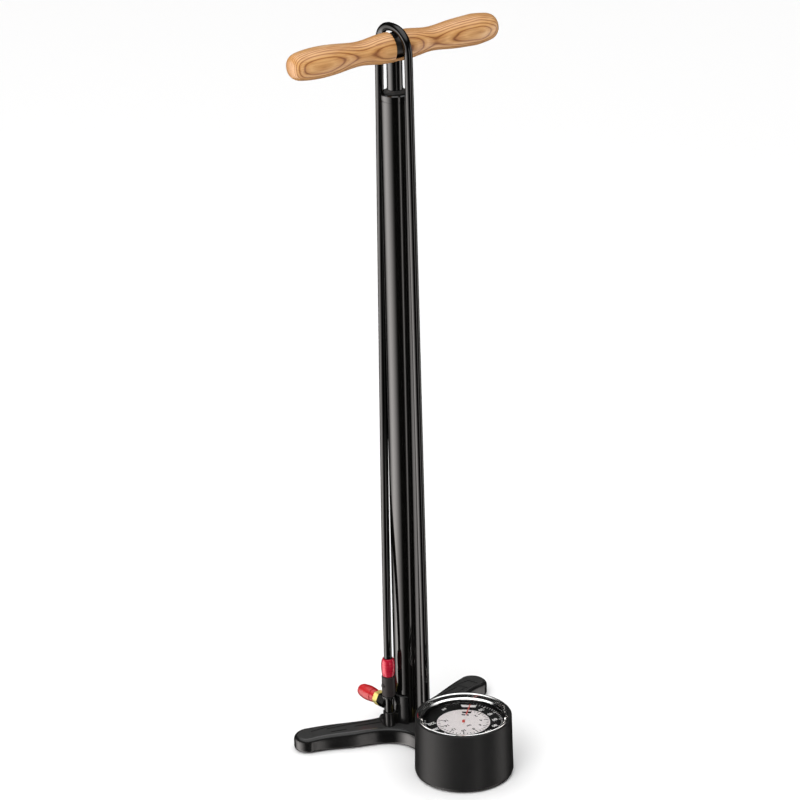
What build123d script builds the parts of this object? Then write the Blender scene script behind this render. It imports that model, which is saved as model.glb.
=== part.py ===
from build123d import *
import os
from math import asin, atan2, cos, degrees, hypot, pi, radians, sin, sqrt, tan

# Floor bike pump, millimetres, +Z up.
# The origin is on the floor under the barrel's axis. The legs and the handle run along X,
# the gauge stands in front (-Y), and the docked hose head is beside the barrel at -X.

# ---- driving dimensions -------------------------------------------------------------
BARREL_R = 13.4
BARREL_WALL = 1.2
BARREL_FOOT_Z = 5.0
BARREL_TOP_Z = 626.0
ROD_R = 7.05
ROD_WALL = 1.2
HANDLE_Z = 674.0
HANDLE_HALF = 107.5
HOSE_R = 3.75
HOSE_BORE_R = 2.0
PAD_H = 1.2
BASE_TOP_Z = 17.0
LEG_TIP = (93.5, 30.0)
LEG_TIP_R = 13.5
GAUGE_Y = -91.5
GAUGE_TOP_R = 44.5
GAUGE_FOOT_R = 45.6
GAUGE_TOP_Z = 57.8
DOCK = (-23.6, -2.4)
RUN_GAP = 0.05
STROKE = 540.0

# ---- levels and radii that follow from them --------------------------------------------
BORE_R = BARREL_R - BARREL_WALL
ROD_BORE_R = ROD_R - ROD_WALL
GAUGE = (0.0, GAUGE_Y)
PLUG_TOP_Z = 26.0
PISTON_FOOT_Z = 28.0
PISTON_Z = 36.0
PISTON_TOP_Z = 44.0
BUMPER_TOP_Z = 54.0
BUSH_FOOT_Z = BUMPER_TOP_Z + STROKE + 6.0
CAP_TOP_Z = BARREL_TOP_Z + 6.5
ROD_TOP_Z = HANDLE_Z - 5.0
SADDLE_R = 10.0
SPOT_Z = HANDLE_Z + SADDLE_R - 0.8
SIDE_Z = 40.0
SIDE_TURN = 9.6
DIAL_Z = 48.8

BASE = (Align.CENTER, Align.CENTER, Align.MIN)


# ---- small builders -----------------------------------------------------------------
def bar(radius, low, high, at=(0.0, 0.0)):
    """Upright round bar from height low to height high."""
    return Pos(at[0], at[1], low) * Cylinder(radius, high - low, align=BASE)


def ring(outer, inner, low, high, at=(0.0, 0.0)):
    """Upright tube or washer."""
    return bar(outer, low, high, at) - bar(inner, low - 1, high + 1, at)


def hex_bar(across_flats, low, high, at=(0.0, 0.0)):
    """Upright hexagonal bar."""
    outline = RegularPolygon(across_flats / 2, 6, major_radius=False)
    return Pos(at[0], at[1], low) * extrude(outline, high - low)


def turned(profile, at=(0.0, 0.0)):
    """Solid of revolution about an upright axis, from (radius, height) points."""
    outline = Polyline(*[(radius, 0, height) for radius, height in profile], close=True)
    return Pos(at[0], at[1], 0) * revolve(make_face(outline), Axis.Z)


def side_place(distance):
    """Frame on the head's side branch: its Z runs along the branch, distance from the head's axis."""
    branch = Pos(DOCK[0], DOCK[1], SIDE_Z) * Rot(0, 0, SIDE_TURN) * Rot(-90, 0, 0)
    return branch * Pos(0, 0, distance)


# ---- base ---------------------------------------------------------------------------
NECK_HALF = 17.0
NECK_END_Y = GAUGE_Y + 38.0
GAUGE_PLATE_R = 42.2
GAUGE_PLATE_Z = 6.0
SCREW_RING_R = 36.5
SCREW_ANGLES = (30, 150, 270)
BARREL_BOLT_R = 3.0
BARREL_BOLT_HEAD_R = 5.0
BARREL_BOLT_HEAD_Z = 4.6
AIR_PASSAGE_R = 1.2
AIR_PASSAGE_Z = 14.2
OUTLET_Y = -29.5
ENGRAVING_DEPTH = 0.6
ENGRAVING_WIDTH = 1.3
ENGRAVINGS = (
    ((40, 22.5), (65, 27), (89, 31), (93, 22.5)),
    ((30, 12), (54, 19.5), (75, 25.5), (79, 17.5)),
    ((58, 28.5), (78, 33.5)),
    ((62, 13.5), (75, 18)),
    ((26, 5), (52, 13)),
)
LEG_FLAT_HALF = 36.0
LEG_FALL = 3.4
LEG_FALL_LENGTH = LEG_TIP[0] + LEG_TIP_R + 1 - LEG_FLAT_HALF
LEG_FALL_R = (LEG_FALL_LENGTH ** 2 + LEG_FALL ** 2) / (2 * LEG_FALL)
LEG_TOP_FILLET = 4.5
LEG_FOOT_FILLET = 2.2


def on_tip(angle):
    """Point of the leg's round end at an angle from +X."""
    return (LEG_TIP[0] + LEG_TIP_R * cos(radians(angle)), LEG_TIP[1] + LEG_TIP_R * sin(radians(angle)))


def base_outline():
    """Plan of the casting: two swept legs with round ends and a neck towards the gauge."""
    back_angle = 112
    front_angle = -78
    back_tangent = (sin(radians(back_angle)), -cos(radians(back_angle)))
    front_tangent = (sin(radians(front_angle)), -cos(radians(front_angle)))
    back = Spline((0, 16), (22, 17.5), (44, 23.4), (63, 31.8), on_tip(back_angle),
                  tangents=((1, 0), back_tangent))
    tip = ThreePointArc(on_tip(back_angle), on_tip(17), on_tip(front_angle))
    front = Spline(on_tip(front_angle), (56, 0.8), (36, -6.2), (21.5, -18), (NECK_HALF, -36),
                   tangents=(front_tangent, (0, -1)))
    neck = Line((NECK_HALF, -36), (NECK_HALF, NECK_END_Y))
    end = Line((NECK_HALF, NECK_END_Y), (-NECK_HALF, NECK_END_Y))
    half = [back, tip, front, neck]
    return make_face(Curve() + half + [mirror(edge, about=Plane.YZ) for edge in half] + end)


def leg_side_view():
    """Side view of the casting: level in the middle, falling along a gentle arc to both ends."""
    end_x = LEG_FLAT_HALF + LEG_FALL_LENGTH
    level = Line((-LEG_FLAT_HALF, BASE_TOP_Z), (LEG_FLAT_HALF, BASE_TOP_Z))
    fall = TangentArc((LEG_FLAT_HALF, BASE_TOP_Z), (end_x, BASE_TOP_Z - LEG_FALL), tangent=(1, 0))
    end = Line((end_x, BASE_TOP_Z - LEG_FALL), (end_x, PAD_H))
    foot = Line((end_x, PAD_H), (-end_x, PAD_H))
    other_side = [mirror(edge, about=Plane.YZ) for edge in (fall, end)]
    return make_face(Curve() + [level, fall, end, foot] + other_side)


def leg_top(x):
    """Height and slope, in degrees, of a leg's top at a distance from the barrel's axis."""
    past = max(0.0, x - LEG_FLAT_HALF)
    return BASE_TOP_Z - LEG_FALL_R + sqrt(LEG_FALL_R ** 2 - past ** 2), degrees(asin(past / LEG_FALL_R))


def engraved_line(points, side):
    """Shallow slot along a line of points on one leg's top."""
    slot = Part()
    for (x0, y0), (x1, y1) in zip(points, points[1:]):
        length = hypot(x1 - x0, y1 - y0)
        angle = degrees(atan2(y1 - y0, side * (x1 - x0)))
        stroke = SlotOverall(length + ENGRAVING_WIDTH, ENGRAVING_WIDTH)
        height, slope = leg_top((x0 + x1) / 2)
        place = Pos(side * (x0 + x1) / 2, (y0 + y1) / 2, height - ENGRAVING_DEPTH) * Rot(0, side * slope, 0)
        slot += place * Rot(0, 0, angle) * extrude(stroke, ENGRAVING_DEPTH + 1)
    return slot


def gauge_screw_places():
    """Centres of the screws that hold the gauge housing down."""
    return [(SCREW_RING_R * cos(radians(angle)), GAUGE_Y + SCREW_RING_R * sin(radians(angle)))
            for angle in SCREW_ANGLES]


def neck_solid():
    """Plain legs-and-neck body with well rounded edges."""
    body = Pos(0, 0, PAD_H) * extrude(base_outline(), BASE_TOP_Z - PAD_H)
    body &= extrude(Plane.XZ * leg_side_view(), 2 * LEG_FALL_R, both=True)
    top_edges = [edge for face in body.faces() if face.normal_at().Z > 0.9 for edge in face.edges()]
    rim = [edge for edge in top_edges if abs(abs(edge.center().X) - LEG_FLAT_HALF) > RUN_GAP]
    body = fillet(rim, LEG_TOP_FILLET)
    return fillet(body.faces().sort_by(Axis.Z)[0].edges(), LEG_FOOT_FILLET)


def base_casting(legs):
    body = legs + bar(GAUGE_PLATE_R, PAD_H, GAUGE_PLATE_Z, GAUGE)
    body -= bar(BARREL_R, BARREL_FOOT_Z, BASE_TOP_Z + 1)
    body -= bar(BARREL_BOLT_R, PAD_H - 1, BARREL_FOOT_Z + 1)
    body -= bar(BARREL_BOLT_HEAD_R + 0.5, PAD_H - 1, BARREL_BOLT_HEAD_Z)
    passage_length = -OUTLET_Y + 1
    body -= Pos(0, 0, AIR_PASSAGE_Z) * Rot(90, 0, 0) * Cylinder(AIR_PASSAGE_R, passage_length, align=BASE)
    body -= bar(OUTLET_THREAD_R, AIR_PASSAGE_Z - 2, BASE_TOP_Z + 1, (0, OUTLET_Y))
    body -= bar(DOCK_SCREW_R, BASE_TOP_Z - DOCK_SCREW_DEPTH, BASE_TOP_Z + 1, DOCK_SCREW)
    for place in gauge_screw_places():
        body -= bar(GAUGE_SCREW_R, PAD_H - 1, GAUGE_PLATE_Z + 1, place)
        body -= bar(GAUGE_SCREW_HEAD_R, PAD_H - 1, PAD_H + GAUGE_SCREW_HEAD_H, place)
    for side in (-1, 1):
        for points in ENGRAVINGS:
            body -= engraved_line(points, side)
    return body


def foot_pads():
    """Thin rubber pads: one under each leg's end, one under the barrel and a ring under the gauge."""
    leg_pads = [bar(9.5, 0, PAD_H, (side * LEG_TIP[0], LEG_TIP[1])) for side in (-1, 1)]
    return Compound(children=leg_pads + [bar(11, 0, PAD_H), ring(31.5, 22, 0, PAD_H, GAUGE)])


# ---- barrel -------------------------------------------------------------------------
BUSH_R = 9.4
WIPER_R = 9.9
VALVE_BORE_R = 3.7
VALVE_FOOT_Z = 13.5
SEAT_Z = 24.0
BALL_R = 3.0
BALL_DROP = 2.0
BALL_Z = SEAT_Z - BALL_R - 0.3
SPRING_WIRE_R = 0.3
O_RING_R = 0.9
O_RING_Z = 10.0


def barrel_tube():
    return ring(BARREL_R, BORE_R, BARREL_FOOT_Z, BARREL_TOP_Z)


def barrel_top_cap():
    """Turned cap: a spigot inside the tube and a flange on its end, with a fine groove under the rim."""
    flange_r = BARREL_R + 0.3
    return turned((
        (BUSH_R, BUSH_FOOT_Z), (BORE_R, BUSH_FOOT_Z), (BORE_R, BARREL_TOP_Z), (flange_r - 0.7, BARREL_TOP_Z),
        (flange_r - 0.7, BARREL_TOP_Z + 0.9), (flange_r, BARREL_TOP_Z + 1.2), (flange_r, CAP_TOP_Z - 0.9),
        (flange_r - 0.9, CAP_TOP_Z), (WIPER_R, CAP_TOP_Z), (WIPER_R, CAP_TOP_Z - 3), (BUSH_R, CAP_TOP_Z - 3)))


def rod_guide_bush():
    return ring(BUSH_R, ROD_R + RUN_GAP, BUSH_FOOT_Z, CAP_TOP_Z - 3)


def rod_wiper_seal():
    """Rubber wiper with a raised lip round the rod."""
    inner = ROD_R + RUN_GAP
    return turned((
        (inner, CAP_TOP_Z - 3), (WIPER_R, CAP_TOP_Z - 3), (WIPER_R, CAP_TOP_Z + 0.6),
        (inner + 1.6, CAP_TOP_Z + 1.2), (inner + 0.7, CAP_TOP_Z + 3), (inner, CAP_TOP_Z + 3)))


def barrel_bottom_plug():
    """Plug in the barrel's foot: bolt thread below, check valve chamber, side port and O-ring groove."""
    plug = bar(BORE_R, BARREL_FOOT_Z, PLUG_TOP_Z) - bar(VALVE_BORE_R, VALVE_FOOT_Z, SEAT_Z)
    plug -= bar(VALVE_BORE_R + 2, SEAT_Z, PLUG_TOP_Z + 1)
    plug -= bar(BARREL_BOLT_R, BARREL_FOOT_Z - 1, VALVE_FOOT_Z - 1.5)
    plug -= Pos(0, 0, AIR_PASSAGE_Z + 0.5) * Rot(90, 0, 0) * Cylinder(AIR_PASSAGE_R, BORE_R + 1, align=BASE)
    return plug - ring(BORE_R + 1, BORE_R - 2 * O_RING_R, O_RING_Z - O_RING_R, O_RING_Z + O_RING_R)


def plug_o_ring():
    return Pos(0, 0, O_RING_Z) * Torus(BORE_R - O_RING_R, O_RING_R)


def barrel_bolt():
    """Socket-head bolt that pulls the plug and barrel down into the base."""
    head_low = PAD_H + 0.2
    bolt = bar(BARREL_BOLT_HEAD_R, head_low, BARREL_BOLT_HEAD_Z)
    bolt += bar(BARREL_BOLT_R, head_low, VALVE_FOOT_Z - 2)
    return bolt - hex_bar(5, head_low - 1, head_low + 1.8)


def check_valve_seat():
    return ring(VALVE_BORE_R + 2, 1.8, SEAT_Z, PLUG_TOP_Z)


def check_valve_ball():
    return Pos(0, 0, BALL_Z) * Sphere(BALL_R)


def check_valve_spring():
    """Three open turns between the chamber's floor and the ball."""
    low = VALVE_FOOT_Z + SPRING_WIRE_R
    height = BALL_Z - BALL_R - SPRING_WIRE_R - 0.1 - low
    radius = VALVE_BORE_R - SPRING_WIRE_R - 0.4
    coil = Pos(0, 0, low) * Helix(pitch=height / 3, height=height, radius=radius)
    return sweep(Plane(coil @ 0, z_dir=coil % 0) * Circle(SPRING_WIRE_R), path=coil)


# ---- piston, rod and handle -----------------------------------------------------------
PISTON_BOLT_R = 3.0
HANDLE_BOLT_R = 2.5
HANDLE_BOLT_HEAD_R = 3.8
HANDLE_BOLT_HEAD_H = 2.4
WASHER_R = 4.4
HANDLE_MIDDLE_R = 13.5
HANDLE_PROFILE = ((13, 13.3), (36, 10.8), (58, 12.7), (79, 13.9))
HANDLE_SHOULDER = (97.0, 12.5)
HANDLE_SHOULDER_SLOPE = -0.16
SADDLE_FLOOR_HALF = 4.6
SADDLE_MOUTH_HALF = 6.0


def piston_rod():
    return ring(ROD_R, ROD_BORE_R, PISTON_TOP_Z, ROD_TOP_Z)


def piston_head():
    """Disc under the rod with a spigot inside it."""
    disc = bar(BORE_R - 2 * RUN_GAP, PISTON_Z, PISTON_TOP_Z)
    disc += bar(ROD_BORE_R, PISTON_TOP_Z, PISTON_TOP_Z + 14)
    return disc - bar(PISTON_BOLT_R, PISTON_Z - 1, PISTON_TOP_Z + 10)


def piston_cup_seal():
    """Rubber cup whose lip bears on the barrel and opens downwards."""
    lip_r = BORE_R - RUN_GAP
    return turned((
        (PISTON_BOLT_R, PISTON_Z), (lip_r - 0.8, PISTON_Z), (lip_r, PISTON_Z - 3.5),
        (lip_r, PISTON_FOOT_Z + 0.5), (lip_r - 1.2, PISTON_FOOT_Z + 0.5), (lip_r - 2.6, PISTON_Z - 2.5), (PISTON_BOLT_R, PISTON_Z - 2.5)))


def piston_bolt():
    """Hexagon bolt that clamps the cup seal to the piston head."""
    return hex_bar(9, PISTON_FOOT_Z, PISTON_Z - 2.5) + bar(PISTON_BOLT_R, PISTON_Z - 2.5, PISTON_TOP_Z + 9)


def piston_bumper():
    return ring(10, ROD_R, PISTON_TOP_Z, BUMPER_TOP_Z)


def rod_top_insert():
    return bar(ROD_BORE_R, ROD_TOP_Z - 22, ROD_TOP_Z) - bar(HANDLE_BOLT_R, ROD_TOP_Z - 16, ROD_TOP_Z + 1)


def handle_blank():
    """Turned grip: two bulging ends, two waists and a swelling in the middle."""
    shoulder_x, shoulder_r = HANDLE_SHOULDER
    right = [(x, 0, r) for x, r in HANDLE_PROFILE] + [(shoulder_x, 0, shoulder_r)]
    left = [(-x, 0, r) for x, _, r in reversed(right)]
    middle = Spline(*left, (0, 0, HANDLE_MIDDLE_R), *right,
                    tangents=((1, 0, -HANDLE_SHOULDER_SLOPE), (1, 0, HANDLE_SHOULDER_SLOPE)))
    cap = Bezier((shoulder_x, 0, shoulder_r), (shoulder_x + 7.5, 0, shoulder_r + 7.5 * HANDLE_SHOULDER_SLOPE),
                 (HANDLE_HALF, 0, shoulder_r - 4.5), (HANDLE_HALF, 0, 0))
    axis_line = Line((HANDLE_HALF, 0, 0), (-HANDLE_HALF, 0, 0))
    outline = make_face(Curve() + [middle, cap, mirror(cap, about=Plane.YZ), axis_line])
    return Pos(0, 0, HANDLE_Z) * revolve(outline, Axis.X)


def saddle_cut():
    """Groove with flared walls over the handle's front, top and back, where the hose is hooked."""
    groove = revolve(make_face(Polyline(
        (-SADDLE_FLOOR_HALF, 0, SADDLE_R), (-SADDLE_MOUTH_HALF, 0, 15), (SADDLE_MOUTH_HALF, 0, 15),
        (SADDLE_FLOOR_HALF, 0, SADDLE_R), close=True)), Axis.X)
    lower_part = Pos(0, 0, -8) * Box(40, 40, 20, align=(Align.CENTER, Align.CENTER, Align.MAX))
    return Pos(0, 0, HANDLE_Z) * (groove - lower_part)


def handle():
    grip = handle_blank() - saddle_cut()
    grip -= bar(ROD_R, HANDLE_Z - 20, ROD_TOP_Z)
    grip -= bar(HANDLE_BOLT_R, ROD_TOP_Z - 1, HANDLE_Z + 20)
    return grip - bar(WASHER_R, SPOT_Z, HANDLE_Z + 20)


def handle_washer():
    return ring(WASHER_R, HANDLE_BOLT_R, SPOT_Z, SPOT_Z + 0.8)


def handle_bolt():
    """Low domed socket bolt from the handle's top into the rod's insert."""
    head_z = SPOT_Z + 0.8
    head = bar(HANDLE_BOLT_HEAD_R, head_z, head_z + HANDLE_BOLT_HEAD_H)
    head = fillet(head.faces().sort_by(Axis.Z)[-1].edges(), 1.2)
    return head + bar(HANDLE_BOLT_R, ROD_TOP_Z - 14, head_z) - hex_bar(4, head_z + 1, head_z + 5)


# ---- hose ---------------------------------------------------------------------------
OUTLET_THREAD_R = 4.0
OUTLET_NUT_TOP_Z = 24.0
OUTLET_BARB_R = HOSE_BORE_R - 0.25
FERRULE_TOP_Z = 45.0
FERRULE_R = 5.0
HOSE_TOP_Z = 690.9
HOSE_END_Z = 71.0
HOSE_STRAIGHTEN_Z = 140.0
HOSE_ROUTE = (
    (0.0, OUTLET_Y, 27.0),
    (0.0, -22.4, HOSE_TOP_Z),
    (0.0, 23.6, HOSE_TOP_Z),
    (-9.6, 17.0, 300.0),
    (DOCK[0], DOCK[1], HOSE_STRAIGHTEN_Z),
    (DOCK[0], DOCK[1], HOSE_END_Z),
)
CORNER_SHARE = 0.45


def corner_radii(route):
    """Arc radius at each corner, as large as its two straight runs allow."""
    points = [Vector(*point) for point in route]
    radii = []
    for before, corner, after in zip(points, points[1:], points[2:]):
        turn = (corner - before).get_angle(after - corner)
        shorter = min((corner - before).length, (after - corner).length)
        radii.append(CORNER_SHARE * shorter / tan(radians(turn / 2)))
    return radii


def air_hose():
    """Rubber hose from the base's outlet, over the handle and down to the head."""
    radii = corner_radii(HOSE_ROUTE)
    path = FilletPolyline(*HOSE_ROUTE, radius=radii)
    section = Circle(HOSE_R) - Circle(HOSE_BORE_R)
    hose = sweep(Plane(path @ 0, z_dir=path % 0) * section, path=path)
    expected = pi * (HOSE_R ** 2 - HOSE_BORE_R ** 2) * path.length
    print("air_hose radii", [round(radius, 1) for radius in radii], "length", round(path.length, 1),
          "volume ratio", round(hose.volume / expected, 4))
    return hose


def hose_outlet_fitting():
    """Hexagon fitting screwed into the base, with a barb inside the hose."""
    at = (0, OUTLET_Y)
    fitting = bar(OUTLET_THREAD_R, AIR_PASSAGE_Z - 2, BASE_TOP_Z, at)
    fitting += hex_bar(11, BASE_TOP_Z, OUTLET_NUT_TOP_Z, at)
    fitting += bar(OUTLET_BARB_R, OUTLET_NUT_TOP_Z, 42, at)
    return fitting - bar(AIR_PASSAGE_R, AIR_PASSAGE_Z - 3, 50, at)


def hose_ferrule():
    """Crimped sleeve over the hose's lower end."""
    at = (0, OUTLET_Y)
    sleeve = ring(FERRULE_R, HOSE_R + 0.3, OUTLET_NUT_TOP_Z, FERRULE_TOP_Z, at)
    for height in (30, 34, 38):
        sleeve -= ring(FERRULE_R + 1, FERRULE_R - 0.4, height, height + 1.4, at)
    return sleeve


# ---- dock and hose head ---------------------------------------------------------------
DOCK_R = 5.8
SPINE_R = 16.0
SPINE_TOP_Z = 45.0
WEB_H = 10.0
DOCK_TOP_Z = 31.0
DOCK_FLOOR_Z = 19.5
DOCK_SCREW = (-22.4, 10.6)
DOCK_SCREW_R = 1.5
DOCK_SCREW_DEPTH = 7.0
NOSE_R = 4.6
FLANGE_R = 6.1
FLANGE_Z = 45.4
FLANGE_H = 2.2
SLEEVE_R = 6.3
SLEEVE_Z = 48.3
SLEEVE_TOP_Z = 68.2
STEM_R = 4.6
COLLAR_BORE_R = HOSE_R + 0.4
COLLAR_FOOT_Z = SLEEVE_TOP_Z + 0.4
COLLAR_TOP_Z = 86.5
BARB_TOP_Z = 84.0
BUTTON_R = 2.1
BUTTON_Z = 59.0
BUTTON_TURN = 180.0
SIDE_FLATS = 12.5
NIPPLE_R = 3.9
NIPPLE_BORE_R = 1.6
NIPPLE_FLANGE_R = 4.8
HEAD_HEX_END = 10.3
BRASS_HEX_END = 16.0
NIPPLE_END = 25.6
COUPLER_LOW = BRASS_HEX_END + 0.4
COUPLER_HIGH = 38.4
COUPLER_R = 7.1
COUPLER_GROOVE = 20.6
COUPLER_POCKET_R = 5.0
COUPLER_POCKET_LOW = 23.2
VALVE_BORE_MOUTH_R = 3.95
VALVE_BORE_DEPTH = 9.0


def dock_bracket():
    """Round boss with a socket for the head's nose, on a foot with a screw, and a spine along the barrel."""
    foot = Plane.XY.offset(BASE_TOP_Z) * make_hull(
        (Pos(*DOCK) * Circle(DOCK_R)).edges() + (Pos(*DOCK_SCREW) * Circle(3.6)).edges())
    bracket = extrude(foot, 1.6) + bar(DOCK_R, BASE_TOP_Z, DOCK_TOP_Z, DOCK)
    beside_barrel = Box(SPINE_R - 2, 2 * SPINE_R, SPINE_TOP_Z - BASE_TOP_Z, align=BASE)
    bracket += bar(SPINE_R, BASE_TOP_Z, SPINE_TOP_Z) & Pos(-SPINE_R, 0, BASE_TOP_Z) * beside_barrel
    web = Box(-DOCK[0] - BARREL_R, DOCK_R, WEB_H, align=(Align.MIN, Align.CENTER, Align.MIN))
    bracket += Pos(DOCK[0], DOCK[1], BASE_TOP_Z) * web
    bracket -= bar(NOSE_R + 0.3, DOCK_FLOOR_Z, DOCK_TOP_Z + 1, DOCK)
    bracket -= bar(BARREL_R + 0.2, BASE_TOP_Z - 1, SPINE_TOP_Z + 1)
    return bracket - bar(DOCK_SCREW_R, BASE_TOP_Z - 1, DOCK_TOP_Z, DOCK_SCREW)


def dock_screw():
    top = BASE_TOP_Z + 1.6
    head = fillet(bar(3.0, top, top + 2.4, DOCK_SCREW).faces().sort_by(Axis.Z)[-1].edges(), 1.1)
    screw = head + bar(DOCK_SCREW_R, BASE_TOP_Z - 6, top, DOCK_SCREW)
    return screw - hex_bar(2.5, top + 1, top + 3, DOCK_SCREW)


def head_body():
    """Head: round nose below, rounded flange above it and a hexagonal branch to the side."""
    flange = bar(FLANGE_R, FLANGE_Z, FLANGE_Z + FLANGE_H, DOCK)
    flange = fillet(flange.edges().filter_by(GeomType.CIRCLE), 0.8)
    body = bar(NOSE_R, DOCK_FLOOR_Z, FLANGE_Z, DOCK) + flange + bar(5.3, FLANGE_Z, SLEEVE_Z, DOCK)
    body += side_place(0) * hex_bar(SIDE_FLATS, 1.5, HEAD_HEX_END)
    body -= side_place(0) * bar(NIPPLE_R - 0.7, 4, HEAD_HEX_END + 1)
    body -= bar(AIR_PASSAGE_R, SIDE_Z, SLEEVE_Z + 1, DOCK)
    return body - side_place(0) * bar(AIR_PASSAGE_R, 0, 5)


def head_stem():
    """Brass stem inside the sleeve, with the barb that holds the hose."""
    stem = bar(STEM_R, SLEEVE_Z, SLEEVE_TOP_Z, DOCK) + bar(OUTLET_BARB_R, SLEEVE_TOP_Z, BARB_TOP_Z, DOCK)
    stem -= bar(AIR_PASSAGE_R, SLEEVE_Z - 1, BARB_TOP_Z + 1, DOCK)
    return stem - button_place() * bar(BUTTON_R + 0.3, 2.6, STEM_R + 1)


def button_place():
    """Frame at the button, with Z pointing out of the sleeve."""
    return Pos(DOCK[0], DOCK[1], BUTTON_Z) * Rot(0, 0, BUTTON_TURN) * Rot(0, 90, 0)


def head_grip_sleeve():
    """Satin sleeve with softened ends and a hole for the bleed button."""
    sleeve = fillet(bar(SLEEVE_R, SLEEVE_Z, SLEEVE_TOP_Z, DOCK).edges().filter_by(GeomType.CIRCLE), 0.8)
    sleeve -= bar(STEM_R, SLEEVE_Z - 1, SLEEVE_TOP_Z + 1, DOCK)
    return sleeve - button_place() * bar(BUTTON_R + RUN_GAP, 3, 9)


def bleed_button():
    """Small push button that lets the pressure out of the hose."""
    button = button_place() * bar(BUTTON_R, 3.6, SLEEVE_R + 0.7)
    outer_edge = button.edges().filter_by(GeomType.CIRCLE).sort_by_distance(Vector(*DOCK, BUTTON_Z))[-1]
    return fillet(outer_edge, 0.4)


def head_lock_collar():
    """Barrel-shaped collar that slides back along the hose."""
    low, high = COLLAR_FOOT_Z, COLLAR_TOP_Z
    foot_r, crown_r, rim_r = 5.7, 6.55, 5.0
    crown = Spline((foot_r, 0, low + 0.4), (6.4, 0, low + 5), (crown_r, 0, low + 10), (6.2, 0, low + 14.5),
                   (rim_r, 0, high - 0.3))
    rim = Polyline((rim_r, 0, high - 0.3), (rim_r - 0.3, 0, high), (COLLAR_BORE_R, 0, high),
                   (COLLAR_BORE_R, 0, low), (foot_r - 0.4, 0, low), (foot_r, 0, low + 0.4))
    return Pos(*DOCK, 0) * revolve(make_face(crown + rim), Axis.Z)


def side_nipple():
    """Brass fitting: thread into the head, chamfered hexagon, and the spigot that the coupler turns on."""
    corner_r = SIDE_FLATS / sqrt(3)
    hexagon = hex_bar(SIDE_FLATS, HEAD_HEX_END, BRASS_HEX_END) & turned((
        (0, HEAD_HEX_END), (corner_r - 0.5, HEAD_HEX_END), (corner_r, HEAD_HEX_END + 0.5),
        (corner_r, BRASS_HEX_END - 0.5), (corner_r - 0.5, BRASS_HEX_END), (0, BRASS_HEX_END)))
    nipple = hexagon + bar(NIPPLE_R - 0.7, 5, HEAD_HEX_END) + bar(NIPPLE_R, BRASS_HEX_END, NIPPLE_END)
    nipple += bar(NIPPLE_FLANGE_R, NIPPLE_END - 2, NIPPLE_END)
    return side_place(0) * (nipple - bar(NIPPLE_BORE_R, 4, NIPPLE_END + 1))


def coupler():
    """Bulging coupler with a grip groove and a stepped dome, free to spin, bored for a tyre valve."""
    shaft_r = NIPPLE_R + RUN_GAP
    pocket_high = COUPLER_HIGH - VALVE_BORE_DEPTH
    foot = (COUPLER_R - 1.1, 0, COUPLER_LOW + 0.5)
    shoulder = (COUPLER_R - 0.2, 0, pocket_high + 2)
    dome_foot = (COUPLER_R - 0.6, 0, pocket_high + 3.6)
    dome_top = (COUPLER_R - 2.2, 0, COUPLER_HIGH)
    bulge = Spline(foot, (COUPLER_R - 0.5, 0, COUPLER_LOW + 5), (COUPLER_R, 0, pocket_high - 1.5), shoulder)
    step = Polyline(shoulder, (COUPLER_R - 0.6, 0, pocket_high + 2.4), dome_foot)
    dome = Spline(dome_foot, (COUPLER_R - 0.9, 0, pocket_high + 6), dome_top)
    inside = Polyline(
        dome_top, (VALVE_BORE_MOUTH_R, 0, COUPLER_HIGH), (VALVE_BORE_MOUTH_R, 0, pocket_high),
        (COUPLER_POCKET_R, 0, pocket_high), (COUPLER_POCKET_R, 0, COUPLER_POCKET_LOW),
        (shaft_r, 0, COUPLER_POCKET_LOW), (shaft_r, 0, COUPLER_LOW), (COUPLER_R - 1.6, 0, COUPLER_LOW), foot)
    body = revolve(make_face(Curve() + [bulge, step, dome, inside]), Axis.Z)
    return side_place(0) * (body - ring(COUPLER_R + 1, COUPLER_R - 1, COUPLER_GROOVE, COUPLER_GROOVE + 0.9))


def coupler_seal():
    """Rubber ring that grips the valve."""
    seal_high = COUPLER_HIGH - VALVE_BORE_DEPTH - 0.2
    return side_place(0) * ring(COUPLER_POCKET_R - 0.1, 2.4, NIPPLE_END + 0.3, seal_high)


# ---- gauge --------------------------------------------------------------------------
BEZEL_SEAT_R = 42.45
BEZEL_SEAT_Z = 50.0
DIAL_SEAT_R = 40.4
DIAL_LEDGE_R = 38.4
LENS_Z = 51.4
LENS_TOP_Z = 53.4
LENS_R = 39.7
INNER_DIAL_R = 24.5
BEZEL_STEPS = 3
BEZEL_STEP_W = 0.45
BEZEL_STEP_H = 0.85
ARBOR_R = 0.8
GAUGE_SCREW_R = 1.5
GAUGE_SCREW_HEAD_R = 3.0
GAUGE_SCREW_HEAD_H = 1.8
GEAR_MODULE = 0.4
PINION_TEETH = 10
SECTOR_TEETH = 90
GEAR_Z = 34.0
GEAR_H = 2.0
SECTOR_SWING = 30.0
PINION_R = GEAR_MODULE * PINION_TEETH / 2
SECTOR_R = GEAR_MODULE * SECTOR_TEETH / 2
SECTOR_PIVOT = (-(PINION_R + SECTOR_R), GAUGE_Y)
PLATE_LOW_Z = 28.0
PLATE_HIGH_Z = 40.0
PLATE_H = 1.5
BOURDON_R = 30.0
BOURDON_Z = 36.0
BLOCK_Y = GAUGE_Y + BOURDON_R
NEEDLE_REST_TURN = 45.0


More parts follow.
